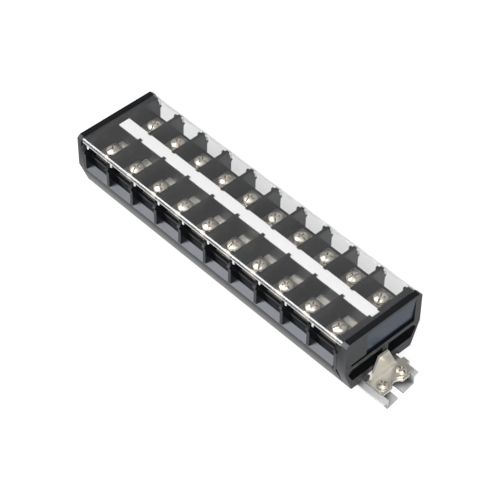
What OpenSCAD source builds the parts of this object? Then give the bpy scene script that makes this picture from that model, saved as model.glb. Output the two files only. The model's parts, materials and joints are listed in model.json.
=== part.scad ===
// Barrier terminal strip: double-sided ways on a 35 mm top-hat rail, under a clear cover, with one end stop.
// X runs along the strip, Y from the front to the rear and Z up; z = 0 is the underside of the rail's web.
// Heights named "above the foot" are counted from the underside of the plastic modules.

/* [Strip] */
// Number of ways along the strip
ways = 10; // [2:1:10]
// Distance from one way to the next
pitch = 23.5; // [22:0.5:27]
// Thickness of each barrier wall
barrier_t = 2.4; // [1.8:0.2:3]
// Seam between neighbouring modules
module_seam = 0.1; // [0.05:0.05:0.3]

/* [Barrier outline] */
// Height of a barrier above the foot
barrier_h = 42.4; // [41.4:0.2:44]
// Inset of the barrier's crown from the sills; the crown goes inside the cover's lips
crown_in = 2.3; // [2:0.1:2.9]
// Height of the crown's straight edge
crown_h = 1.1; // [0.8:0.1:1.4]
// Chamfer on the crown's top corner
crown_chamfer = 0.3; // [0.2:0.1:0.6]
// Depth of the hollow below the crown
hollow = 0.4; // [0.2:0.1:0.8]
// Height of the hollow below the barrier's top
hollow_drop = 1.7; // [1.6:0.1:2.4]
// Projection of the rounded nubs beyond the sills
nub_out = 1; // [0.5:0.1:1.5]
// Radius of each nub
nub_r = 0.6; // [0.5:0.1:0.9]
// Height of the nub's centre below the barrier's top
nub_drop = 8.2; // [7.6:0.1:8.8]
// Inset of the barrier's straight edge below the nub from the sills
edge_in = 0.3; // [0.1:0.1:0.7]
// Height of that edge's upper end below the barrier's top
edge_drop = 10; // [9.6:0.1:10.4]
// Width of the boss at each end of a barrier's left face
boss_w = 1.7; // [1:0.1:2.4]
// Height of the boss, flush with the barrier's top
boss_h = 2.2; // [1.5:0.1:2.2]
// Projection of the boss from the barrier
boss_out = 1.6; // [1:0.1:2]
// Distance of the boss from the crown's edge
boss_in = 1.7; // [1.2:0.1:2.2]

/* [Compartment section] */
// Half depth over the sills
block_half = 33.5; // [32:0.5:38]
// Height of the sill's outer edge above the foot
sill_h = 19.2; // [18:0.2:21]
// Height of the vertical band's lower edge above the foot
band_h = 16.3; // [14:0.1:17]
// Inset of the foot from the sills
foot_in = 7.2; // [5.5:0.1:8]
// Slope of the ramp inside the sill
ramp_angle = 35; // [30:1:42]
// Inset of the deck that carries the terminal bar from the sills
deck_in = 4.3; // [3.5:0.1:4.5]
// Height of the deck above the foot
deck_h = 30; // [29:0.1:31]
// Thickness of the lip along the deck's edge
deck_lip = 1.2; // [0.8:0.1:2]
// Depth of the recess below that lip
deck_recess = 1.5; // [1:0.1:1.6]
// Half thickness of the central ridge
ridge_half = 5; // [4.9:0.1:6]

/* [Marker strip] */
// Width of the marker strip
marker_w = 8.8; // [8:0.1:9.4]
// Thickness of the marker strip
marker_t = 1; // [0.8:0.1:1.6]
// Thickness of the barrier tabs over its edges
marker_tab_t = 0.5; // [0.5:0.1:1]
// Overlap of the tabs on each edge
marker_tab = 1.05; // [0.4:0.05:1.5]
// Clearance round the strip
marker_gap = 0.1; // [0.05:0.05:0.15]
// Free length between the strip's left end and the first barrier
marker_end_gap = 1.2; // [0.5:0.1:2]
// Free length between the strip's right end and the far face of the last barrier
marker_end_in = 0.5; // [0.3:0.1:1]

/* [Terminals] */
// Thickness of the terminal bar
bar_t = 1.4; // [1:0.1:1.8]
// Height of the bar above the deck
bar_proud = 0.2; // [0.1:0.1:0.4]
// Width of the bar's pads
pad_w = 15; // [14:0.5:17]
// Width of the ribbed neck that passes through the ridge
neck_w = 10; // [8:0.5:12]
// Distance of the bar's ends from the deck's edge
bar_in = 2.2; // [2:0.1:3.2]
// Distance from each washer to where the neck widens to the pads
neck_in = 1.2; // [0.9:0.1:1.6]
// Clearance of the bar in its bed
bar_gap = 0.15; // [0.05:0.05:0.2]
// Radius of the neck's grip ribs
rib_r = 0.5; // [0.3:0.1:0.6]
// Distance between the grip ribs
rib_pitch = 1.35; // [1.3:0.05:1.45]
// Distance of the screws from the deck's edge
screw_in = 11.1; // [10.7:0.1:11.7]
// Diameter of the terminal screw's shank
screw_d = 4.9; // [4:0.1:5]
// Length of the shank below the head
screw_len = 9; // [7:0.5:11]
// Diameter of the terminal screw's head
head_d = 9.5; // [8:0.1:10.2]
// Height of the terminal screw's head
head_h = 3.7; // [2.8:0.1:4]
// Radial running clearance of the shank in the bar's thread
thread_gap = 0.05; // [0.03:0.01:0.08]
// Side of the square clamping washer
washer_w = 13; // [12:0.5:14]
// Thickness of the washer
washer_t = 1.5; // [1:0.1:1.8]
// Corner chamfer of the washer
washer_chamfer = 1.2; // [0.5:0.1:2]
// Radial clearance of the shank in the washer
washer_gap = 0.15; // [0.1:0.05:0.3]
// Radial clearance of the shank in the pocket below the bar
pocket_gap = 0.75; // [0.5:0.05:1]
// Free depth below the shank in its pocket
pocket_spare = 1.5; // [1:0.1:3]

/* [Cover] */
// Thickness of the cover's panel
cover_t = 1.6; // [1.2:0.1:1.8]
// Radius of the cover's long top edges
cover_r = 1.5; // [0.5:0.1:1.6]
// Thickness of the cover's lips
lip_t = 0.9; // [0.7:0.1:0.9]
// Depth of the lips below the panel's underside
lip_h = 2; // [1.5:0.1:2.1]
// Radius of the corner inside each lip
lip_r = 0.4; // [0.2:0.1:0.5]
// Gap between the barriers and the cover
cover_gap = 0.1; // [0.05:0.05:0.2]
// Width of the left end plate's ledge below the cover
left_ledge = 1.8; // [1.2:0.1:2.5]
// Width of the right end plate's ledge below the cover
right_ledge = 3.1; // [2:0.1:3.6]
// Gap between the cover and each end plate
cover_end_gap = 0.4; // [0.3:0.1:0.6]

/* [End plates] */
// Thickness of the left end plate
left_plate_t = 5.6; // [4:0.2:8]
// Thickness of the right end plate, without its barrier
right_plate_t = 7.6; // [6.6:0.2:9]
// Height of the end plates above the foot
plate_h = 44.6; // [44:0.1:45.6]
// Inset of the end plates from the sills
plate_in = 0.4; // [0:0.1:0.9]
// Height of the plates' top chamfer
plate_chamfer_h = 2.1; // [1.6:0.1:3]
// Depth of the plates' top chamfer
plate_chamfer_w = 2.4; // [2:0.1:3.4]
// Height of the plates' vertical edge above the foot
plate_edge_h = 18.8; // [16:0.1:20]
// Depth of the sloping panel in the right plate's outer face, at its lower edge
panel_depth = 1.6; // [0.8:0.1:2]
// Height of the panel's lower edge above the foot
panel_low = 22; // [21:0.1:23]
// Front edge of the panel
panel_front = 14.8; // [12:0.2:16]
// Distance of the panel from the plate's rear edge
panel_in = 5.4; // [4:0.1:7]
// Height of the groove that runs on to the front below the panel
panel_groove = 2.1; // [1.5:0.1:3]
// Depth of the lower pockets in the right plate's outer face
pocket_depth = 4; // [3:0.5:5]
// Half width of the notch over the rail
notch_half = 15.5; // [14:0.5:16]
// Height of the notch over the rail
notch_h = 3; // [2:0.5:4]

/* [Rail] */
// Width over the rail's flanges
rail_w = 35; // [34.8:0.1:35.2]
// Height of the rail
rail_h = 7.5; // [7.3:0.1:7.7]
// Width of each flange beyond the rail's channel
rail_flange_w = 4; // [3.6:0.1:4.4]
// Sheet thickness of the rail
rail_t = 1; // [0.8:0.1:1.2]
// Length of the rail beyond the left end plate
rail_out_left = 2; // [1:0.5:4]
// Length of the rail beyond the right end plate
rail_out_right = 20; // [18:0.5:30]
// Skew of the saw cut at the rail's right end
saw_angle = 6.6; // [0:0.1:7]
// Distance between the slots in the web
slot_pitch = 25; // [20:1:30]
// Length of a slot
slot_len = 15; // [12:0.5:18]
// Width of a slot
slot_w = 5.3; // [4.5:0.1:6.2]
// Distance from the rail's right end to the middle of the slot that it cuts
slot_cut = 4.5; // [0:0.5:6]

/* [Rail feet] */
// Height of the modules' underside above the rail's flanges
foot_lift = 4.9; // [4:0.1:6]
// Width of a module's foot along the rail
foot_w = 13; // [11:0.5:15]
// Width of an end plate's foot along the rail
plate_foot_w = 5; // [3:0.5:5]
// Gap between the hooks and the rail's flanges
foot_gap = 0.2; // [0.1:0.05:0.3]
// Thickness of a foot's leg
leg_t = 2.4; // [2:0.1:3]
// Thickness of a hook below the flange
hook_t = 1.5; // [1:0.1:2]
// Reach of a hook under the flange
hook_reach = 1.6; // [1:0.1:2]
// Length of the release tongue behind the rear foot
tongue_l = 3.2; // [2:0.1:4]

/* [End stop] */
// Sheet thickness of the bracket
stop_t = 1.5; // [1.2:0.1:1.8]
// Length of the bracket along the rail
stop_len = 12.9; // [11:0.1:15]
// Gap between the right end plate and the bracket
stop_gap = 0.3; // [0.2:0.05:0.5]
// Distance of the bracket's front edge from the front flange's edge
stop_front_in = 4.9; // [4.3:0.1:5.2]
// Distance of the bracket's rear edge from the rear flange's edge
stop_rear_in = 1; // [0.5:0.1:1.5]
// Height of the upright above the rail's flanges
upright_h = 19; // [16:0.5:22]
// Half width of the upright's top
upright_top = 4.1; // [3:0.1:6]
// Half width of the upright's foot
upright_foot = 11.7; // [10:0.1:12.5]
// Inside radius of the upright's bend
bend_r = 1.2; // [0.8:0.1:2]
// Radius of the notch in the bracket's outer edge
bite_r = 5.75; // [5:0.05:6]
// Distance of the notch's centre beyond that edge
bite_out = 2.55; // [2:0.05:3]
// Distance of each screw from the channel's outer face
stop_screw_wall = 5.1; // [4.5:0.1:5.5]
// Distance of the screws from the bracket's outer edge
stop_screw_in = 3.9; // [3.6:0.1:5]
// Distance of the notch and the screws from the rail's middle
stop_shift = 0.6; // [0:0.1:1]
// Shank diameter of the end stop's screws
stop_screw_d = 3.9; // [3:0.1:4]
// Head diameter of the end stop's screws
stop_head_d = 7.3; // [6.5:0.1:7.6]
// Head height of the end stop's screws
stop_head_h = 2.9; // [2.4:0.1:3.2]
// Thickness of the threaded clamp plate below the bracket
clamp_t = 1.8; // [1.2:0.1:2.4]
// Length of the clamp plate beyond the bracket's outer edge
clamp_out = 0.7; // [0:0.1:1]
// Gap between the clamp plate and the channel's walls
clamp_gap = 0.4; // [0.2:0.1:0.6]
// Gap between the screws' tips and the rail's web
tip_gap = 0.3; // [0.1:0.1:0.5]

/* [Hidden] */
$fn = 48;
SIDES = [-1, 1];
SIDE_NAMES = ["front", "rear"];
foot_z = rail_h + foot_lift;
wall_half = barrier_t / 2;
left_end = -(wall_half + left_plate_t + rail_out_left);
right_face = ways * pitch + wall_half + right_plate_t;
right_end = right_face + rail_out_right;
middle = (left_end + right_end) / 2;
marker_top = barrier_h - marker_tab_t - marker_gap;
ridge_h = marker_top - marker_t;
bar_top = deck_h + bar_proud;
washer_top = bar_top + washer_t;
cover_low = barrier_h + cover_gap;
crown_half = block_half - crown_in;
edge_half = block_half - edge_in;
nub_half = block_half + nub_out;
boss_half = crown_half - boss_in;
foot_half = block_half - foot_in;
deck_half = block_half - deck_in;
bar_half = deck_half - bar_in;
screw_half = deck_half - screw_in;
neck_half = screw_half - washer_w / 2 - neck_in;
rib_edge = 0.5;
rib_count = floor((neck_half - ridge_half - 2 * rib_r - rib_edge) / rib_pitch) + 1;
cover_half = crown_half + cover_gap + lip_t;
plate_half = block_half - plate_in;
panel_rear = plate_half - panel_in;
flange_half = rail_w / 2;
channel_half = flange_half - rail_flange_w;
stop_front = flange_half - stop_front_in;
stop_rear = flange_half - stop_rear_in;
stop_screw_half = channel_half - stop_screw_wall;
stop_face = right_face + stop_gap;
stop_edge = stop_face + stop_len;
recess_wing = 0.62;
recess_w = 1.2;
recess_share = 0.55;
dome_share = 0.68;
pocket_wall = 3.2;
pocket_corner = 3;
pocket_rib = 5;
cut = 1;

function two_digits(i) = i < 9 ? str("0", i + 1) : str(i + 1);
function way_node(name, i) = str(name, "_", two_digits(i));
function side_node(name, s, i) = way_node(str(name, "_", SIDE_NAMES[s]), i);
WAY_LIST = [for (i = [0 : ways - 1]) i];

// Place of barrier i and of the middle of way i along the strip
function wall_x(i) = i * pitch - middle;
function way_x(i) = wall_x(i + 0.5);

// A closed outline from the points of its rear half
function both_sides(half) = concat(half, [for (i = [len(half) - 1 : -1 : 0]) [-half[i].x, half[i].y]]);

// Where a line from point p touches the circle round c; turn picks the side
function tangent_point(c, r, p, turn) =
    let (d = p - c, a = atan2(d.y, d.x) + turn * acos(r / norm(d))) c + r * [cos(a), sin(a)];

// Extrudes an outline drawn in Y and Z from x0 to x1
module along_x(x0, x1) {
    translate([x0, 0, 0]) rotate([90, 0, 90]) linear_extrude(x1 - x0) children();
}

// Barriers
nub = [nub_half - nub_r, barrier_h - nub_drop];
nub_sink = 0.85;
under_crown = [crown_half - hollow, barrier_h - hollow_drop];
edge_top = [edge_half, barrier_h - edge_drop];

module crowned_outline() {
    polygon(both_sides([
        [foot_half, 0],
        [edge_half, band_h],
        edge_top,
        tangent_point(nub, nub_r * nub_sink, edge_top, 1),
        tangent_point(nub, nub_r * nub_sink, under_crown, -1),
        under_crown,
        [crown_half, barrier_h - crown_h],
        [crown_half, barrier_h - crown_chamfer],
        [crown_half - crown_chamfer, barrier_h]]));
}

module barrier_outline() {
    crowned_outline();
    for (side = SIDES) translate([side * nub.x, nub.y]) circle(r = nub_r);
}

// The bosses at the two ends of a barrier's left face
module bosses(face_x) {
    for (side = SIDES)
        translate([face_x - boss_out, side * (boss_half - boss_w / 2) - boss_w / 2, barrier_h - boss_h])
            cube([boss_out + barrier_t / 2, boss_w, boss_h]);
}

module marker_slot_outline() {
    slot_half = marker_w / 2 + marker_gap;
    mouth_half = marker_w / 2 - marker_tab;
    translate([-slot_half, ridge_h - marker_gap]) square([2 * slot_half, marker_t + 2 * marker_gap]);
    translate([-mouth_half, ridge_h]) square([2 * mouth_half, barrier_h - ridge_h + cut]);
}

// Terminal modules
module compartment_outline() {
    ramp_top = sill_h + (block_half - deck_half) * tan(ramp_angle);
    polygon(both_sides([
        [foot_half, 0],
        [block_half, band_h],
        [block_half, sill_h],
        [deck_half, ramp_top],
        [deck_half - deck_recess, ramp_top],
        [deck_half - deck_recess, deck_h - deck_lip],
        [deck_half, deck_h - deck_lip],
        [deck_half, deck_h],
        [ridge_half, deck_h],
        [ridge_half, ridge_h]]));
}

module bar_outline(gap) {
    for (side = SIDES)
        translate([-pad_w / 2 - gap, side < 0 ? -bar_half - gap : neck_half - gap])
            square([pad_w + 2 * gap, bar_half - neck_half + 2 * gap]);
    translate([-neck_w / 2 - gap, -neck_half - gap]) square([neck_w + 2 * gap, 2 * neck_half + 2 * gap]);
}

module bar_bed() {
    bed_h = bar_t + bar_gap;
    translate([0, 0, bar_top - bed_h]) linear_extrude(bed_h + bar_gap) bar_outline(bar_gap);
    depth = screw_len - washer_t + pocket_spare;
    for (side = SIDES)
        translate([0, side * screw_half, bar_top - depth])
            cylinder(d = screw_d + 2 * pocket_gap, h = depth);
}

// The fixed hook at one side of a foot, in Y and Z above the rail's underside
module hook_outline() {
    leg_in = flange_half + foot_gap;
    leg_out = leg_in + leg_t;
    hook_top = rail_h - rail_t - foot_gap;
    polygon([
        [channel_half, foot_z + cut],
        [channel_half, rail_h],
        [leg_in, rail_h],
        [leg_in, hook_top],
        [leg_in - hook_reach, hook_top],
        [leg_in - hook_reach / 2, hook_top - hook_t],
        [leg_out - hook_t / 2, hook_top - hook_t],
        [leg_out, hook_top - hook_t / 2],
        [leg_out, foot_z + cut]]);
}

// The tongue that a screwdriver pulls to free the rear hook
module tongue_outline() {
    leg_out = flange_half + foot_gap + leg_t;
    low = rail_h - rail_t - foot_gap - hook_t;
    polygon([
        [leg_out - hook_t, low],
        [leg_out + tongue_l, low],
        [leg_out + tongue_l, low + hook_t / 2],
        [leg_out - hook_t / 2, low + hook_t]]);
}

module rail_foot(x0, x1) {
    along_x(x0, x1) {
        mirror([1, 0]) hook_outline();
        hook_outline();
        tongue_outline();
    }
}

module terminal_module(i) {
    x0 = wall_x(i) - wall_half;
    x1 = wall_x(i + 1) - wall_half - module_seam;
    color("#1b1c1f") {
        translate([0, 0, foot_z]) difference() {
            union() {
                along_x(x0, x0 + barrier_t) barrier_outline();
                along_x(x0, x1) compartment_outline();
                if (i > 0) bosses(x0);
            }
            along_x(x0 - cut, x0 + barrier_t + cut) marker_slot_outline();
            translate([way_x(i), 0, 0]) bar_bed();
        }
        rail_foot(way_x(i) - foot_w / 2, way_x(i) + foot_w / 2);
    }
}

// End plates
module plate_outline() {
    polygon(both_sides([
        [foot_half, 0],
        [plate_half, plate_edge_h],
        [plate_half, plate_h - plate_chamfer_h],
        [plate_half - plate_chamfer_w, plate_h]]));
}

// The plate where the cover's end lies over it
module ledge_outline() {
    intersection() {
        plate_outline();
        crowned_outline();
    }
}

module end_plate_left() {
    inner = wall_x(0) - wall_half;
    outer = inner - left_plate_t;
    color("#1b1c1f") {
        difference() {
            translate([0, 0, foot_z]) {
                along_x(outer, inner - left_ledge) plate_outline();
                along_x(inner - left_ledge, inner) ledge_outline();
            }
            rail_notch(outer - cut, outer + 2);
        }
        rail_foot(inner - plate_foot_w, inner);
    }
}

module rail_notch(x0, x1) {
    along_x(x0, x1) translate([-notch_half, foot_z - cut]) square([2 * notch_half, notch_h + cut]);
}

// Outer face of the right plate: a panel that slopes inwards to its lower edge, with two pockets below it
module sloping_panel(face_x) {
    panel_top = plate_h - plate_chamfer_h;
    translate([face_x, panel_rear, 0]) rotate([90, 0, 0]) linear_extrude(panel_front + panel_rear)
        polygon([[cut, panel_low], [-panel_depth, panel_low], [0, panel_top], [cut, panel_top]]);
    translate([face_x - panel_depth, -panel_rear, panel_low])
        cube([panel_depth + cut, panel_rear, panel_groove]);
}

// Half depth of the plate's lower corner at height h above the foot
function plate_edge(h) = foot_half + (plate_half - foot_half) * h / plate_edge_h;

module pocket_outline(inner_y) {
    low = 8;
    high = plate_edge_h - 0.2;
    polygon([
        [inner_y, low],
        [plate_edge(low) - pocket_wall, low],
        [plate_edge(high) - pocket_wall, high - pocket_corner],
        [plate_edge(high) - pocket_wall - pocket_corner, high],
        [inner_y, high]]);
}

module end_plate_right() {
    wall_left = wall_x(ways) - wall_half;
    wall_right = wall_left + barrier_t;
    outer = wall_right + right_plate_t;
    color("#1b1c1f") {
        difference() {
            translate([0, 0, foot_z]) {
                along_x(wall_left, wall_right) barrier_outline();
                along_x(wall_right, wall_right + right_ledge) ledge_outline();
                along_x(wall_right + right_ledge, outer) plate_outline();
                bosses(wall_left);
            }
            translate([0, 0, foot_z]) {
                along_x(wall_left - cut, wall_right) marker_slot_outline();
                sloping_panel(outer);
                along_x(outer - pocket_depth, outer + cut) {
                    pocket_outline(pocket_rib);
                    mirror([1, 0]) pocket_outline(0);
                }
            }
            rail_notch(outer - pocket_depth, outer + cut);
        }
        rail_foot(wall_left, wall_left + plate_foot_w);
    }
}

// Terminal bars, washers and screws
module terminal_bars() {
    color("#b9b2a2") for (i = WAY_LIST) translate([way_x(i), 0, foot_z + bar_top - bar_t]) {
        difference() {
            linear_extrude(bar_t) bar_outline(0);
            for (side = SIDES)
                translate([0, side * screw_half, -cut])
                    cylinder(d = screw_d + 2 * thread_gap, h = bar_t + 2 * cut);
        }
        for (side = SIDES, k = [0 : 1 : rib_count - 1])
            translate([-neck_w / 2, side * (neck_half - rib_r - rib_edge - k * rib_pitch), bar_t])
                rotate([0, 90, 0]) cylinder(r = rib_r, h = neck_w, $fn = 24);
    }
}

module washer(i, side) {
    color("#b9b2a2") translate([way_x(i), side * screw_half, foot_z + bar_top]) difference() {
        linear_extrude(washer_t) chamfered_square(washer_w, washer_chamfer);
        translate([0, 0, -cut]) cylinder(d = screw_d + 2 * washer_gap, h = washer_t + 2 * cut);
    }
}

module chamfered_square(w, chamfer) {
    intersection() {
        square(w, center = true);
        rotate(45) square((w - chamfer) * sqrt(2), center = true);
    }
}

// A pan head screw with a slot across its head and a shorter cross wing, seated at z = 0
module pan_screw(shank_d, shank_len, d, h) {
    dome_r = dome_share * d;
    difference() {
        rotate_extrude() intersection() {
            square([d / 2, h]);
            translate([0, h - dome_r]) circle(r = dome_r);
        }
        translate([0, 0, h * (1 - recess_share / 2) + cut / 2])
            cube([d + 2 * cut, recess_w, h * recess_share + cut], center = true);
        translate([0, 0, h * (1 - recess_share / 2) + cut / 2])
            cube([recess_w, recess_wing * d, h * recess_share + cut], center = true);
    }
    translate([0, 0, -shank_len]) cylinder(d = shank_d, h = shank_len + h / 4);
}

module terminal_screw(i, side) {
    color("#c2bcae") translate([way_x(i), side * screw_half, foot_z + washer_top])
        rotate(40 * i + 25 * side) pan_screw(screw_d, screw_len, head_d, head_h);
}

// Marker strip and cover
module marker_strip() {
    color("#f0f0f0") translate([0, 0, foot_z])
        along_x(wall_x(0) + wall_half + marker_end_gap, wall_x(ways) + wall_half - marker_end_in)
            translate([-marker_w / 2, ridge_h]) square([marker_w, marker_t]);
}

// A rectangle up to height top whose two upper corners are rounded
module arched_outline(half, low, top, r) {
    translate([-half, low]) square([2 * half, top - r - low]);
    translate([r - half, low]) square([2 * (half - r), top - low]);
    for (side = SIDES) translate([side * (half - r), top - r]) circle(r = r);
}

module cover_outline() {
    low = cover_low - lip_h;
    difference() {
        arched_outline(cover_half, low, cover_low + cover_t, cover_r);
        arched_outline(cover_half - lip_t, low - cut, cover_low, lip_r);
    }
}

module clear_cover() {
    x0 = wall_x(0) - wall_half - left_ledge + cover_end_gap;
    x1 = wall_x(ways) + wall_half + right_ledge - cover_end_gap;
    color("#dfe8ee", 0.35) translate([0, 0, foot_z]) along_x(x0, x1) cover_outline();
}

// Mounting rail
module rail_outline() {
    difference() {
        union() {
            translate([-channel_half, 0]) square([2 * channel_half, rail_h]);
            translate([-flange_half, rail_h - rail_t]) square([rail_w, rail_t]);
        }
        translate([rail_t - channel_half, rail_t]) square([2 * (channel_half - rail_t), rail_h]);
    }
}

module rail_slot() {
    slide = (slot_len - slot_w) / 2;
    translate([0, 0, -cut]) linear_extrude(rail_t + 2 * cut) {
        for (side = SIDES) translate([side * slide, 0]) circle(d = slot_w);
        square([2 * slide, slot_w], center = true);
    }
}

module din_rail() {
    x0 = left_end - middle;
    x1 = right_end - middle;
    last_slot = x1 - slot_cut;
    color("#d9dadc") difference() {
        along_x(x0, x1) rail_outline();
        for (k = [0 : floor((last_slot - slot_len / 2 - x0 - rail_t) / slot_pitch)])
            translate([last_slot - k * slot_pitch, 0, 0]) rail_slot();
        translate([x1, -flange_half, -cut]) rotate(saw_angle)
            translate([0, -rail_w, 0]) cube([rail_w, 3 * rail_w, rail_h + 2 * cut]);
    }
}

// End stop
function stop_screw_y(side) = stop_shift + side * stop_screw_half;
stop_screw_x = stop_edge - stop_screw_in - middle;

module stop_screw_holes(d) {
    for (side = SIDES) translate([stop_screw_x, stop_screw_y(side), 0]) cylinder(d = d, h = 2 * rail_h);
}

module edge_bite(extra) {
    translate([stop_edge + bite_out - middle, stop_shift + 0.4, 0])
        cylinder(r = bite_r - extra, h = 2 * rail_h, $fn = 96);
}

module end_stop_bracket() {
    x0 = stop_face - middle;
    hook_in = flange_half + foot_gap;
    color("#b8ae9c") {
        difference() {
            translate([x0, -stop_front, rail_h]) cube([stop_len, stop_front + stop_rear, stop_t]);
            stop_screw_holes(stop_screw_d + 0.5);
            edge_bite(0);
        }
        // Hook round the rear flange
        along_x(x0 + stop_t, x0 + stop_len / 2) polygon([
            [stop_rear - stop_t, rail_h],
            [hook_in, rail_h],
            [hook_in, rail_h - rail_t - foot_gap],
            [hook_in - hook_reach, rail_h - rail_t - foot_gap],
            [hook_in - hook_reach, rail_h - rail_t - foot_gap - stop_t],
            [hook_in + stop_t - 0.6, rail_h - rail_t - foot_gap - stop_t],
            [hook_in + stop_t, rail_h - rail_t - foot_gap - stop_t + 0.6],
            [hook_in + stop_t, rail_h + stop_t - 0.6],
            [hook_in + stop_t - 0.6, rail_h + stop_t],
            [stop_rear - stop_t, rail_h + stop_t]]);
        // Upright, with a fillet in its bend
        along_x(x0, x0 + stop_t) upright_outline(0);
        difference() {
            translate([x0 + stop_t, stop_shift - upright_foot, rail_h + stop_t])
                cube([bend_r, 2 * upright_foot, bend_r]);
            translate([x0 + stop_t + bend_r, 0, rail_h + stop_t + bend_r])
                rotate([90, 0, 0]) cylinder(r = bend_r, h = 4 * upright_foot, center = true);
        }
    }
}

module upright_outline(inset) {
    polygon([
        [stop_shift - upright_foot + inset, rail_h + stop_t / 2],
        [stop_shift + upright_foot - inset, rail_h + stop_t / 2],
        [upright_top - inset / 2, rail_h + upright_h - inset],
        [inset / 2 - upright_top, rail_h + upright_h - inset]]);
}

module end_stop_clamp_plate() {
    half = channel_half - rail_t - clamp_gap;
    x0 = stop_face + stop_t - middle;
    x1 = stop_edge + clamp_out - middle;
    color("#a9a294") difference() {
        translate([x0, -half, rail_h - clamp_t]) cube([x1 - x0, 2 * half, clamp_t]);
        stop_screw_holes(stop_screw_d + 2 * thread_gap);
        edge_bite(1);
    }
}

module end_stop_screw(side) {
    color("#c2bcae") translate([stop_screw_x, stop_screw_y(side), rail_h + stop_t])
        rotate(35 + 50 * side)
            pan_screw(stop_screw_d, rail_h + stop_t - rail_t - tip_gap, stop_head_d, stop_head_h);
}

din_rail();
end_plate_left();
end_plate_right();
terminal_bars();
marker_strip();
end_stop_bracket();
end_stop_clamp_plate();
end_stop_screw(-1);  // end_stop_screw_front
end_stop_screw(1);  // end_stop_screw_rear
for (i = WAY_LIST) {
    terminal_module(i);
    for (s = [0, 1]) {
        washer(i, SIDES[s]);
        terminal_screw(i, SIDES[s]);
    }
}
clear_cover();
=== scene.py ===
"""Looks of the barrier terminal strip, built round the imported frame: materials, fine detail, light, camera.

Lengths are in metres, angles in degrees, noise scales per metre, and colours linear.
"""

import json
import math

import bmesh
import bpy
from mathutils import Matrix, Vector


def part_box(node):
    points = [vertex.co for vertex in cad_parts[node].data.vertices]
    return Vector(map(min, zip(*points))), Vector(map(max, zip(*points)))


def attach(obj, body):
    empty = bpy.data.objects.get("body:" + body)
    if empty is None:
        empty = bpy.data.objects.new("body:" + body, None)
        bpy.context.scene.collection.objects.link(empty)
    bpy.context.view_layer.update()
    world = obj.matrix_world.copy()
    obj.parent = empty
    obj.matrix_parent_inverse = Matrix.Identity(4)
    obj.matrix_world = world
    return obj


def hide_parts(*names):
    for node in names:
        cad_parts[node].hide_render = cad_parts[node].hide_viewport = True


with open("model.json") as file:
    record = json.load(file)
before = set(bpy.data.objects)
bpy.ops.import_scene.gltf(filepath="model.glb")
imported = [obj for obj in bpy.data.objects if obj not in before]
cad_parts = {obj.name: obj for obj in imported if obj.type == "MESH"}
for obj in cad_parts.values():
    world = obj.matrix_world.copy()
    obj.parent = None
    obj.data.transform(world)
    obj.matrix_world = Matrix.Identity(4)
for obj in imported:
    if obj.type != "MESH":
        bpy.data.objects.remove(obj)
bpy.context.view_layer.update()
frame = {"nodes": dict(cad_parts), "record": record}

MM = 0.001
WAYS = 10
SIDES = {"front": -1, "rear": 1}

# Camera, fitted to the photograph, with its shift to the right and up
CAMERA_AZIMUTH = 46.16
CAMERA_ELEVATION = 46.632
CAMERA_ROLL = 0.844
CAMERA_DISTANCE = 1.2481
CAMERA_RIGHT = 0.0048
CAMERA_UP = -0.02468
CAMERA_TARGET = Vector((-0.010, 0.0, 0.0557))
CAMERA_LENS = 141.24
CAMERA_SENSOR = 36.0

# Light: the lamps' directions, sizes and powers, and how brightly the floor glows for each kind of ray
WORLD_COLOUR = (0.97, 0.98, 1.0, 1.0)
WORLD_STRENGTH = 0.18
LAMPS = {
    "key": (Vector((-0.44, -0.53, 0.70)), 0.62, 8.1),
    "fill": (Vector((0.62, -0.42, 0.66)), 0.9, 9.0),
    "spark": (Vector((-0.495, -0.78, 0.38)), 0.16, 0.45),
}
FLOOR_SIZE = 8.0
FLOOR_COLOUR = (0.42, 0.42, 0.42, 1.0)
FLOOR_ROUGHNESS = 0.9
FLOOR_GLOW = {"Is Camera Ray": 0.75, "Is Glossy Ray": 0.4, "Is Transmission Ray": 0.46}

# Opaque surfaces: darkest and lightest tone, roughness range, noise scale of each, and the grain's bump.
# The stretch draws the roughness and the grain out along an axis.
EVEN = (1.0, 1.0, 1.0)
METAL_TEXTURE = {
    "tone_scale": 220.0, "roughness_scale": 900.0, "stretch": EVEN,
    "grain_scale": 1400.0, "grain_detail": 3.0, "grain_strength": 0.05, "grain_depth": 0.02 * MM,
}
SURFACES = {
    "housing": {
        "tones": ((0.005, 0.0053, 0.006), (0.008, 0.0084, 0.0095)), "tone_scale": 60.0,
        "roughness": (0.2, 0.3), "roughness_scale": 140.0, "stretch": EVEN,
        "grain_scale": 900.0, "grain_detail": 6.0, "grain_strength": 0.12, "grain_depth": 0.04 * MM,
    },
    "marker": {
        "tones": ((0.84, 0.835, 0.83), (0.87, 0.865, 0.86)), "tone_scale": 45.0,
        "roughness": (0.38, 0.5), "roughness_scale": 300.0, "stretch": EVEN,
        "grain_scale": 1500.0, "grain_detail": 4.0, "grain_strength": 0.08, "grain_depth": 0.03 * MM,
    },
    "terminal": {
        **METAL_TEXTURE, "tones": ((0.36, 0.345, 0.30), (0.45, 0.43, 0.385)), "roughness": (0.24, 0.34),
    },
    "screw": {
        **METAL_TEXTURE, "tones": ((0.72, 0.66, 0.56), (0.84, 0.79, 0.70)), "roughness": (0.28, 0.4),
    },
    "bracket": {
        **METAL_TEXTURE, "tones": ((0.88, 0.84, 0.75), (0.96, 0.93, 0.85)), "roughness": (0.16, 0.26),
    },
    "rail": {
        **METAL_TEXTURE, "tones": ((0.89, 0.89, 0.895), (0.93, 0.93, 0.935)), "roughness": (0.3, 0.42),
        "stretch": (0.02, 1.0, 1.0),
    },
}

# Tones are mixed between these two values of their noise
TONE_NOISE = (0.3, 0.7)
NOISE_DETAIL = 4.0

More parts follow.
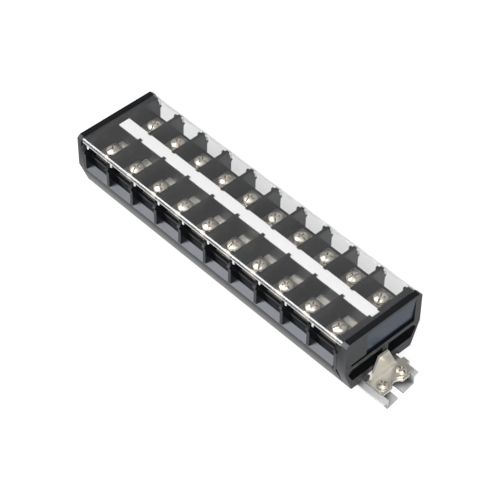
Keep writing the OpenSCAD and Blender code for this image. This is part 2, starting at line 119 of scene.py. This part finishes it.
# Metals: how metallic each is, and how far the painted shade in their crevices reaches.
# The painted shade is darkest at the first openness and ends at the second; its tone is a share of the full
# one.
METALLIC = {"terminal": 0.9, "screw": 0.6, "bracket": 0.62, "rail": 0.35}
CREVICE_SHADE_REACH = {"terminal": 1.4 * MM, "screw": 1.4 * MM, "bracket": 1.4 * MM, "rail": 8.0 * MM}
CREVICE_SHADE_OPENNESS = (0.35, 0.85)
CREVICE_SHADE_TONE = 0.1
CREVICE_SHADE_SAMPLES = 8

# Black plastic of the modules and end plates
HOUSING_IOR = 1.48
HOUSING_SPECULAR = (0.88, 0.92, 1.0, 1.0)

# Painted reflection on the right end plate's panel: a lighter grey-blue field for the light its tilted face
# reflects; its tone, its extent, and the panel's deepest and shallowest place below the plate's face
PANEL_REFLECTION_TONE = (0.028, 0.044, 0.072, 1.0)
PANEL_FIELD_Y = (-15.0 * MM, 27.5 * MM)
PANEL_FIELD_Z = (36.0 * MM, 55.0 * MM)
PANEL_BORDER = 0.3 * MM
PANEL_DEPTH = (1.57 * MM, 0.02 * MM)
PANEL_DEPTH_BORDER = 0.03 * MM

# Clear cover: share of white haze over its panel, and of painted highlight in its bends and lip ends where
# light gathers
COVER_HAZE = (0.008, 0.026)
COVER_HAZE_SCALE = 42.0
COVER_EDGE_HIGHLIGHT = 0.55
COVER_BEND_HIGHLIGHT = (0.7 * MM, 1.1 * MM)
COVER_LIP_HIGHLIGHT = (0.25 * MM, 0.5 * MM)
COVER_COLOUR = (0.985, 0.985, 0.985, 1.0)
COVER_SHADE = (0.965, 0.965, 0.965, 1.0)
COVER_IOR = 1.49
COVER_ROUGHNESS = (0.01, 0.03)
COVER_ROUGHNESS_SCALE = 35.0

# Rounding of the CAD nodes that stay, by material
EDGE_ROUNDING = {
    "housing": 0.2 * MM, "marker": 0.15 * MM, "terminal": 0.12 * MM, "bracket": 0.2 * MM, "rail": 0.12 * MM,
}
EDGE_ANGLE = 30
ROUNDING_STEPS = 2
WELD_REACH = 0.002 * MM

# Cover: a sheet with rounded long edges and thinner lips, swept from end to end
COVER_THICKNESS = 1.6 * MM
COVER_BEND = 1.5 * MM
COVER_BEND_STEPS = 12
LIP_THICKNESS = 0.9 * MM
LIP_INNER_BEND = 0.4 * MM
LIP_BEND_STEPS = 5
COVER_EDGE = 0.15 * MM
COVER_EDGE_STEPS = 3
COVER_SHARP_ANGLE = 35

# Lugs below the lips, one beside each barrier: size, and place from the way's middle
LUG_WIDTH = 1.4 * MM
LUG_DROP = 3.2 * MM
LUG_ASIDE = 9.45 * MM
LUG_ROUNDING = 0.3 * MM
LUG_ROUNDING_STEPS = 3

# Screws, with the sizes of their CAD nodes
TERMINAL_SCREW = {
    "head": 4.75 * MM, "height": 3.7 * MM, "slot_width": 1.15 * MM, "wing": 5.6 * MM,
    "shank": 2.45 * MM, "length": 9.0 * MM, "pitch": 0.8 * MM,
}
STOP_SCREW = {
    "head": 3.65 * MM, "height": 2.9 * MM, "slot_width": 1.0 * MM, "wing": 4.6 * MM,
    "shank": 1.95 * MM, "length": 7.7 * MM, "pitch": 0.7 * MM,
}
SCREW_SHARP_ANGLE = 38

# Head: the dome's radius as a share of the head's width, the fillet round it and its drop below the dome,
# and the rim below
DOME_SHARE = 0.68
DOME_STEPS = 8
HEAD_FILLET = 0.5 * MM
HEAD_FILLET_DROP = 0.2 * MM
FILLET_STEPS = 4
RIM_HEIGHT = 0.25 * MM
RIM_CHAMFER = 0.2 * MM
HEAD_SEGMENTS = 72

# Recess: heights as shares of the head's, and the cone's radii from its mouth to its tip
RECESS_FLOOR = 0.45
RECESS_ROUNDING = 0.09 * MM
RECESS_ANGLE = 35
CONE_MOUTH = 1.75 * MM
CONE_PROFILE = ((1.6 * MM, 0.95), (0.75 * MM, 0.3), (0.0, 0.22))
CONE_SEGMENTS = 24
CUT_PAST = 1.0 * MM

# Thread: its depth as a share of the pitch, its rings in a turn, and how much its last turn thins out
THREAD_DEPTH = 0.495
THREAD_STEPS = 6
THREAD_TIP = 0.5 * MM
SHANK_SEGMENTS = 24
SHANK_IN_HEAD = 0.5 * MM

# How far each screw is turned: from one way to the next, and to either side of it at the front and rear
TERMINAL_TURN = 40
TERMINAL_TURN_ASIDE = 25
STOP_TURN = 35
STOP_TURN_ASIDE = 50


# Nodes of the materials
def new_material(name):
    """A node material, its tree and its main shader."""
    material = bpy.data.materials.new(name)
    material.use_nodes = True
    tree = material.node_tree
    return material, tree, tree.nodes["Principled BSDF"]


def node(tree, kind, **values):
    """A new node, its properties and inputs set by name."""
    made = tree.nodes.new(kind)
    for key, value in values.items():
        if hasattr(made, key):
            setattr(made, key, value)
        else:
            made.inputs[key].default_value = value
    return made


def coordinates(tree, scale=EVEN):
    """Object coordinates in metres, stretched by scale."""
    source = tree.nodes.new("ShaderNodeTexCoord")
    mapping = node(tree, "ShaderNodeMapping", Scale=scale)
    tree.links.new(source.outputs["Object"], mapping.inputs["Vector"])
    return mapping.outputs["Vector"]


def axes(tree):
    """The object coordinates one by one."""
    made = tree.nodes.new("ShaderNodeSeparateXYZ")
    tree.links.new(coordinates(tree), made.inputs["Vector"])
    return made.outputs["X"], made.outputs["Y"], made.outputs["Z"]


def noise(tree, vector, scale, detail=NOISE_DETAIL):
    """A noise value from 0 to 1."""
    made = node(tree, "ShaderNodeTexNoise", Scale=scale, Detail=detail)
    tree.links.new(vector, made.inputs["Vector"])
    return made.outputs["Fac"]


def remap(tree, value, start, end, low, high):
    """Maps start to low and end to high, and holds both beyond them."""
    made = tree.nodes.new("ShaderNodeMapRange")
    for name, number in zip(("From Min", "From Max", "To Min", "To Max"), (start, end, low, high)):
        made.inputs[name].default_value = number
    tree.links.new(value, made.inputs["Value"])
    return made.outputs["Result"]


def spread(tree, value, low, high):
    """Maps a 0 to 1 value to low to high."""
    return remap(tree, value, 0.0, 1.0, low, high)


def fade(tree, value, start, end):
    """1 up to start, falling to 0 at end."""
    return remap(tree, value, start, end, 1.0, 0.0)


def plain_math(tree, operation, *values):
    """A Math node on one or two values, each a socket or a number."""
    made = node(tree, "ShaderNodeMath", operation=operation)
    for socket, value in zip(made.inputs, values):
        if isinstance(value, float):
            socket.default_value = value
        else:
            tree.links.new(value, socket)
    return made.outputs[0]


def multiply(tree, first, second):
    """The product of two values."""
    return plain_math(tree, "MULTIPLY", first, second)


def larger(tree, first, second):
    """The larger of two values."""
    return plain_math(tree, "MAXIMUM", first, second)


def within(tree, value, start, end, soft):
    """1 between start and end, with soft borders inside them."""
    after_start = plain_math(tree, "SUBTRACT", 1.0, fade(tree, value, start, start + soft))
    return multiply(tree, after_start, fade(tree, value, end - soft, end))


def blend_colours(tree, value, first, second):
    """A colour that runs from the first to the second as the noise value rises."""
    ramp = tree.nodes.new("ShaderNodeValToRGB")
    for stop, position, colour in zip(ramp.color_ramp.elements, TONE_NOISE, (first, second)):
        stop.position = position
        stop.color = (*colour, 1.0)
    tree.links.new(value, ramp.inputs["Fac"])
    return ramp.outputs["Color"]


def surface(tree, shader, look):
    """Sets a shader's roughness and grain as the look says, and returns its wandering tone."""
    lines = coordinates(tree, look["stretch"])
    roughness = spread(tree, noise(tree, lines, look["roughness_scale"]), *look["roughness"])
    tree.links.new(roughness, shader.inputs["Roughness"])
    bump = node(tree, "ShaderNodeBump", Strength=look["grain_strength"], Distance=look["grain_depth"])
    tree.links.new(noise(tree, lines, look["grain_scale"], look["grain_detail"]), bump.inputs["Height"])
    tree.links.new(bump.outputs["Normal"], shader.inputs["Normal"])
    return blend_colours(tree, noise(tree, coordinates(tree), look["tone_scale"]), *look["tones"])


# Materials
def black_plastic(tree, shader):
    """Sets a shader to semi-gloss black moulding compound, and returns its tone with faint flow marks."""
    shader.inputs["IOR"].default_value = HOUSING_IOR
    shader.inputs["Specular Tint"].default_value = HOUSING_SPECULAR
    return surface(tree, shader, SURFACES["housing"])


def housing_material():
    """Black plastic alone, for the modules and the left end plate."""
    material, tree, shader = new_material("housing")
    tree.links.new(black_plastic(tree, shader), shader.inputs["Base Color"])
    return material


def end_plate_material():
    """The housing's plastic, with a smooth grey-blue field of painted reflection on the panel of the right
    end plate.
    """
    material, tree, shader = new_material("end_plate")
    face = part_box("end_plate_right")[1].x
    deep, shallow = PANEL_DEPTH
    x, y, z = axes(tree)
    on_panel = within(tree, x, face - deep, face - shallow, PANEL_DEPTH_BORDER)
    across = within(tree, y, *PANEL_FIELD_Y, PANEL_BORDER)
    upright = within(tree, z, *PANEL_FIELD_Z, PANEL_BORDER)
    # Painted reflection: the panel's field is mixed to a lighter grey-blue.
    painted_reflection = multiply(tree, on_panel, multiply(tree, across, upright))
    tones = node(tree, "ShaderNodeMixRGB", Color2=PANEL_REFLECTION_TONE)
    tree.links.new(painted_reflection, tones.inputs["Fac"])
    tree.links.new(black_plastic(tree, shader), tones.inputs["Color1"])
    tree.links.new(tones.outputs["Color"], shader.inputs["Base Color"])
    return material


def cover_haze_and_highlight(tree):
    """The cover's haze, a little over its panel, with painted highlights of white haze in its long bends and
    at its lips' ends.
    """
    low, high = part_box("clear_cover")
    _, y, z = axes(tree)
    aside = plain_math(tree, "SUBTRACT", high.y, plain_math(tree, "ABSOLUTE", y))
    below = plain_math(tree, "SUBTRACT", high.z, z)
    squares = plain_math(tree, "ADD", multiply(tree, aside, aside), multiply(tree, below, below))
    # Painted highlight: white haze in the long bends and at the lips' ends, where highlights fall on the
    # edges.
    bend = fade(tree, plain_math(tree, "SQRT", squares), *COVER_BEND_HIGHLIGHT)
    lip_end = fade(tree, z, *(low.z + height for height in COVER_LIP_HIGHLIGHT))
    painted_highlight = multiply(tree, larger(tree, bend, lip_end), COVER_EDGE_HIGHLIGHT)
    thin = spread(tree, noise(tree, coordinates(tree), COVER_HAZE_SCALE), *COVER_HAZE)
    return larger(tree, painted_highlight, thin)


def cover_material():
    """Clear moulded sheet with haze and painted highlights, which lets shadow rays and diffuse rays straight
    through.
    """
    material, tree, shader = new_material("cover")
    shader.inputs["Base Color"].default_value = COVER_COLOUR
    shader.inputs["IOR"].default_value = COVER_IOR
    clearness = plain_math(tree, "SUBTRACT", 1.0, cover_haze_and_highlight(tree))
    tree.links.new(clearness, shader.inputs["Transmission Weight"])
    roughness = spread(tree, noise(tree, coordinates(tree), COVER_ROUGHNESS_SCALE), *COVER_ROUGHNESS)
    tree.links.new(roughness, shader.inputs["Roughness"])
    paths = tree.nodes.new("ShaderNodeLightPath")
    straight = node(tree, "ShaderNodeBsdfTransparent", Color=COVER_SHADE)
    passing = larger(tree, paths.outputs["Is Shadow Ray"], paths.outputs["Is Diffuse Ray"])
    mix = tree.nodes.new("ShaderNodeMixShader")
    tree.links.new(passing, mix.inputs[0])
    tree.links.new(shader.outputs[0], mix.inputs[1])
    tree.links.new(straight.outputs[0], mix.inputs[2])
    tree.links.new(mix.outputs[0], tree.nodes["Material Output"].inputs["Surface"])
    return material


def marker_material():
    """Satin white plastic."""
    material, tree, shader = new_material("marker")
    tree.links.new(surface(tree, shader, SURFACES["marker"]), shader.inputs["Base Color"])
    return material


def metal_material(name):
    """Plated metal: a tone that wanders, with painted shade in the crevices, and a fine grain."""
    material, tree, shader = new_material(name)
    shader.inputs["Metallic"].default_value = METALLIC[name]
    # Painted shade: ambient occlusion darkens the base colour in crevices, recesses and round the screw
    # heads.
    occlusion = node(tree, "ShaderNodeAmbientOcclusion", samples=CREVICE_SHADE_SAMPLES, Distance=CREVICE_SHADE_REACH[name])
    painted_shade = remap(tree, occlusion.outputs["AO"], *CREVICE_SHADE_OPENNESS, CREVICE_SHADE_TONE, 1.0)
    tone = node(tree, "ShaderNodeVectorMath", operation="SCALE")
    tree.links.new(surface(tree, shader, SURFACES[name]), tone.inputs["Vector"])
    tree.links.new(painted_shade, tone.inputs["Scale"])
    tree.links.new(tone.outputs["Vector"], shader.inputs["Base Color"])
    return material


MATERIALS = {
    "housing": housing_material(),
    "cover": cover_material(),
    "end_plate": end_plate_material(),
    "marker": marker_material(),
    **{name: metal_material(name) for name in METALLIC},
}


# CAD nodes that stay: all but the cover and the screws
def round_edges(piece, width, angle):
    """A bevel modifier on a piece's edges that are sharper than the angle."""
    rounded = piece.modifiers.new("Bevel", "BEVEL")
    rounded.width = width
    rounded.segments = ROUNDING_STEPS
    rounded.limit_method = "ANGLE"
    rounded.angle_limit = math.radians(angle)
    return rounded


def dress(name, slot):
    """Gives a CAD node its material and small rounded edges; its mesh stays where it is."""
    piece = frame["nodes"][name]
    piece.data.materials.clear()
    piece.data.materials.append(MATERIALS["end_plate" if name == "end_plate_right" else slot])
    for face in piece.data.polygons:
        face.use_smooth = True
    if piece.data.has_custom_normals:
        piece.data.attributes.remove(piece.data.attributes["custom_normal"])
    piece.modifiers.new("Weld", "WELD").merge_threshold = WELD_REACH
    round_edges(piece, EDGE_ROUNDING[slot], EDGE_ANGLE).harden_normals = True


for part in frame["record"]["subparts"]:
    if part["material_slot"] in EDGE_ROUNDING:
        dress(part["node"], part["material_slot"])


# Meshes
def add_object(name, data):
    """A new object in the scene."""
    made = bpy.data.objects.new(name, data)
    bpy.context.collection.objects.link(made)
    return made


def finished(made, name):
    """The mesh of a bmesh, which is freed."""
    mesh = bpy.data.meshes.new(name)
    made.to_mesh(mesh)
    made.free()
    return mesh


def smooth(mesh, sharp_angle):
    """Smooth faces, with edges above the angle left sharp."""
    for face in mesh.polygons:
        face.use_smooth = True
    mesh.set_sharp_from_angle(angle=math.radians(sharp_angle))


def bridge(made, rings):
    """Faces from each ring of a bmesh's points to the next; a ring may be a single point."""
    count = max(len(ring) for ring in rings)
    for upper, lower in zip(rings, rings[1:]):
        for k in range(count):
            after = (k + 1) % count
            corners = [upper[k % len(upper)], lower[k % len(lower)],
                       lower[after % len(lower)], upper[after % len(upper)]]
            made.faces.new(list(dict.fromkeys(corners)))


def tube(stations):
    """A bmesh through rings of points, closed at both ends."""
    made = bmesh.new()
    rings = [[made.verts.new(point) for point in station] for station in stations]
    bridge(made, rings)
    made.faces.new(rings[0])
    made.faces.new(rings[-1])
    return made


# Cover
def arc(centre, radius, start, end, steps):
    """Points (y, z) round a centre, with angles from +Y towards +Z."""
    turns = [math.radians(start + (end - start) * k / steps) for k in range(steps + 1)]
    return [(centre[0] + radius * math.cos(t), centre[1] + radius * math.sin(t)) for t in turns]


def cover_section(low, high):
    """The cover's closed (y, z) section, from the rear lip over the top to the front lip and back."""
    inner = high.y - LIP_THICKNESS
    roof = high.z - COVER_THICKNESS
    foot = low.z + COVER_EDGE
    outside = arc((high.y - COVER_EDGE, foot), COVER_EDGE, -90, 0, COVER_EDGE_STEPS)
    outside += arc((high.y - COVER_BEND, high.z - COVER_BEND), COVER_BEND, 0, 90, COVER_BEND_STEPS)
    inside = arc((inner - LIP_INNER_BEND, roof - LIP_INNER_BEND), LIP_INNER_BEND, 90, 0, LIP_BEND_STEPS)
    inside += arc((inner + COVER_EDGE, foot), COVER_EDGE, 180, 270, COVER_EDGE_STEPS)
    front_outside = [(-y, z) for y, z in reversed(outside)]
    front_inside = [(-y, z) for y, z in reversed(inside)]
    return outside + front_outside + front_inside + inside


def inset(section, distance):
    """The section with every point moved inwards by a distance."""
    moved = []
    for k, (y, z) in enumerate(section):
        before = Vector(section[k - 1])
        after = Vector(section[(k + 1) % len(section)])
        along = (after - before).normalized()
        moved.append((y - distance * along.y, z + distance * along.x))
    return moved


def add_lug(made, centre, lip, low):
    """A small rounded lug under the cover's lip, added to a bmesh."""
    shape = bmesh.ops.create_cube(made, size=1.0)["verts"]
    bmesh.ops.scale(made, vec=(LUG_WIDTH, LIP_THICKNESS, LUG_DROP), verts=shape)
    bmesh.ops.translate(made, vec=(centre, lip, low - LUG_DROP / 2 + COVER_EDGE), verts=shape)
    edges = list(dict.fromkeys(edge for vert in shape for edge in vert.link_edges))
    bmesh.ops.bevel(made, geom=edges, offset=LUG_ROUNDING, segments=LUG_ROUNDING_STEPS, affect="EDGES",
                    profile=0.5)


def make_cover():
    """The cover with its lugs, in place of its CAD node."""
    low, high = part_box("clear_cover")
    section = cover_section(low, high)
    end = inset(section, COVER_EDGE)
    places = (low.x, low.x + COVER_EDGE, high.x - COVER_EDGE, high.x)
    stations = zip(places, (end, section, section, end))
    made = tube([[(x, y, z) for y, z in points] for x, points in stations])
    for way in range(WAYS):
        left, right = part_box(f"screw_front_{way + 1:02d}")
        middle = (left.x + right.x) / 2
        for side in SIDES.values():
            add_lug(made, middle - LUG_ASIDE, side * (high.y - LIP_THICKNESS / 2), low.z)
    bmesh.ops.recalc_face_normals(made, faces=made.faces)
    mesh = finished(made, "cover")
    smooth(mesh, COVER_SHARP_ANGLE)
    mesh.materials.append(MATERIALS["cover"])
    piece = add_object("cover_sheet", mesh)
    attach(piece, "cover")
    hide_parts("clear_cover")


make_cover()


# Screws: a domed head with a slot, a cross wing and a centre cone, over a threaded shank
def on_circle(radius, share, height):
    """A point round Z, a share of a turn from +X."""
    angle = 2 * math.pi * share
    return radius * math.cos(angle), radius * math.sin(angle), height


def lathe(profile, segments):
    """A closed surface of revolution round Z; profile runs down from the axis and back to it."""
    made = bmesh.new()
    rings = []
    for radius, height in profile:
        count = segments if radius else 1
        rings.append([made.verts.new(on_circle(radius, k / segments, height)) for k in range(count)])
    bridge(made, rings)
    return finished(made, "lathe")


def block(width, depth, low, high):
    """A box centred on Z, from low to high."""
    made = bmesh.new()
    bmesh.ops.create_cube(made, size=1.0)
    bmesh.ops.scale(made, vec=(width, depth, high - low), verts=made.verts)
    bmesh.ops.translate(made, vec=(0.0, 0.0, (low + high) / 2), verts=made.verts)
    return finished(made, "block")


def carve(mesh, cutters):
    """The mesh less each cutter, with its sharp edges rounded."""
    body = add_object("carved", mesh)
    helpers = [body]
    for cutter in cutters:
        helper = add_object("cutter", cutter)
        helpers.append(helper)
        hole = body.modifiers.new("Cut", "BOOLEAN")
        hole.operation = "DIFFERENCE"
        hole.solver = "EXACT"
        hole.object = helper
    round_edges(body, RECESS_ROUNDING, RECESS_ANGLE)
    graph = bpy.context.evaluated_depsgraph_get()
    result = bpy.data.meshes.new_from_object(body.evaluated_get(graph))
    for helper in helpers:
        bpy.data.objects.remove(helper)
    return result


def screw_head(radius, height, slot_width, wing):
    """A domed head with its recess, seated at z = 0."""
    dome = DOME_SHARE * 2 * radius

    def dome_height(distance):
        return height - dome + math.sqrt(dome ** 2 - distance ** 2)

    crown = radius - HEAD_FILLET
    fall = dome_height(crown) - dome_height(radius) + HEAD_FILLET_DROP
    profile = [(0.0, height)]
    for k in range(1, DOME_STEPS + 1):
        distance = crown * k / DOME_STEPS
        profile.append((distance, dome_height(distance)))
    for k in range(1, FILLET_STEPS + 1):
        angle = math.radians(90 * k / FILLET_STEPS)
        profile.append((crown + HEAD_FILLET * math.sin(angle),
                        dome_height(crown) - fall * (1 - math.cos(angle))))
    profile += [(radius, RIM_HEIGHT), (radius - RIM_CHAMFER, 0.0), (0.0, 0.0)]
    top = height + CUT_PAST
    floor = RECESS_FLOOR * height
    slot = block(slot_width, 2 * (radius + CUT_PAST), floor, top)
    cross = block(wing, slot_width, floor, top)
    cone_profile = [(0.0, top), (CONE_MOUTH, top)]
    cone_profile += [(cone_radius, share * height) for cone_radius, share in CONE_PROFILE]
    return carve(lathe(profile, HEAD_SEGMENTS), [slot, cross, lathe(cone_profile, CONE_SEGMENTS)])


def threaded_shank(radius, length, pitch):
    """A shank from inside the head down to -length, whose surface winds as a thread."""
    steps = int(length / pitch * THREAD_STEPS)
    rings = []
    for j in range(steps + 1):
        z = -length * j / steps
        tip = THREAD_TIP * max(0.0, 1 - (steps - j) / THREAD_STEPS)
        ring = []
        for k in range(SHANK_SEGMENTS):
            share = k / SHANK_SEGMENTS
            phase = (z / pitch + share) % 1.0
            ridge = 1 - abs(2 * phase - 1)
            ring.append(on_circle(radius - THREAD_DEPTH * pitch * ridge - tip, share, z))
        rings.append(ring)
    neck = [(x, y, SHANK_IN_HEAD) for x, y, _ in rings[0]]
    return finished(tube([neck] + rings), "shank")


def screw_mesh(head, height, slot_width, wing, shank, length, pitch):
    """A head and a shank as one mesh."""
    made = bmesh.new()
    made.from_mesh(screw_head(head, height, slot_width, wing))
    made.from_mesh(threaded_shank(shank, length, pitch))
    bmesh.ops.recalc_face_normals(made, faces=made.faces)
    return finished(made, "joined")


def place_screw(template, name, node_name, body, seat_above_bottom, turn):
    """Puts a copy of a screw where its CAD node is, and rides it on the node's body."""
    low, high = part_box(node_name)
    seat = Vector(((low.x + high.x) / 2, (low.y + high.y) / 2, low.z + seat_above_bottom))
    mesh = template.copy()
    mesh.transform(Matrix.Translation(seat) @ Matrix.Rotation(math.radians(turn), 4, "Z"))
    mesh.materials.append(MATERIALS["screw"])
    smooth(mesh, SCREW_SHARP_ANGLE)
    piece = add_object(name, mesh)
    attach(piece, body)
    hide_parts(node_name)


terminal_screw = screw_mesh(**TERMINAL_SCREW)
stop_screw = screw_mesh(**STOP_SCREW)
for side, sign in SIDES.items():
    for way in range(WAYS):
        tag = f"{side}_{way + 1:02d}"
        place_screw(terminal_screw, f"terminal_screw_{tag}", f"screw_{tag}", f"screw_{tag}",
                    TERMINAL_SCREW["length"], TERMINAL_TURN * way + TERMINAL_TURN_ASIDE * sign)
    place_screw(stop_screw, f"stop_screw_{side}", f"end_stop_screw_{side}", f"stop_screw_{side}",
                STOP_SCREW["length"], STOP_TURN + STOP_TURN_ASIDE * sign)


# Floor, light and camera
def make_floor():
    """A pale floor that takes the shadow, and glows for the rays named in FLOOR_GLOW."""
    half = FLOOR_SIZE / 2
    corners = [(-half, -half, 0), (half, -half, 0), (half, half, 0), (-half, half, 0)]
    mesh = bpy.data.meshes.new("floor")
    mesh.from_pydata(corners, [], [(0, 1, 2, 3)])
    floor = add_object("floor", mesh)
    material, tree, shader = new_material("floor")
    shader.inputs["Base Color"].default_value = FLOOR_COLOUR
    shader.inputs["Roughness"].default_value = FLOOR_ROUGHNESS
    shader.inputs["Specular IOR Level"].default_value = 0.0
    shader.inputs["Emission Color"].default_value = (1.0, 1.0, 1.0, 1.0)
    paths = tree.nodes.new("ShaderNodeLightPath")
    glow = 0.0
    for ray, strength in FLOOR_GLOW.items():
        glow = larger(tree, glow, multiply(tree, paths.outputs[ray], strength))
    tree.links.new(glow, shader.inputs["Emission Strength"])
    mesh.materials.append(material)


def make_lamp(name, direction, size, power):
    """A round lamp one metre from the camera's target."""
    lamp = bpy.data.lights.new(name, "AREA")
    lamp.shape = "DISK"
    lamp.size = size
    lamp.energy = power
    made = add_object(name, lamp)
    made.location = CAMERA_TARGET + direction.normalized()
    made.rotation_mode = "QUATERNION"
    made.rotation_quaternion = (-direction).to_track_quat("-Z", "Y")


def make_camera():
    """The fitted camera; it looks at its target from outside, rolled and shifted in its own plane."""
    azimuth, elevation, roll = map(math.radians, (CAMERA_AZIMUTH, CAMERA_ELEVATION, CAMERA_ROLL))
    outwards = Vector((math.sin(azimuth), -math.cos(azimuth), 0.0))
    level = Vector((math.cos(azimuth), math.sin(azimuth), 0.0))
    back = math.cos(elevation) * outwards + math.sin(elevation) * Vector((0.0, 0.0, 1.0))
    upright = back.cross(level)
    right = math.cos(roll) * level + math.sin(roll) * upright
    up = math.cos(roll) * upright - math.sin(roll) * level
    data = bpy.data.cameras.new("camera")
    data.lens = CAMERA_LENS
    data.sensor_width = CAMERA_SENSOR
    camera = add_object("camera", data)
    turn = Matrix((right, up, back)).transposed().to_4x4()
    place = CAMERA_TARGET + back * CAMERA_DISTANCE + right * CAMERA_RIGHT + up * CAMERA_UP
    camera.matrix_world = Matrix.Translation(place) @ turn
    bpy.context.scene.camera = camera


def make_world():
    """A dim and even sky."""
    world = bpy.data.worlds.new("studio")
    world.use_nodes = True
    background = world.node_tree.nodes["Background"]
    background.inputs["Color"].default_value = WORLD_COLOUR
    background.inputs["Strength"].default_value = WORLD_STRENGTH
    bpy.context.scene.world = world


make_floor()
for lamp_name, settings in LAMPS.items():
    make_lamp(lamp_name, *settings)
make_camera()
make_world()
bpy.context.scene.view_settings.view_transform = "Standard"
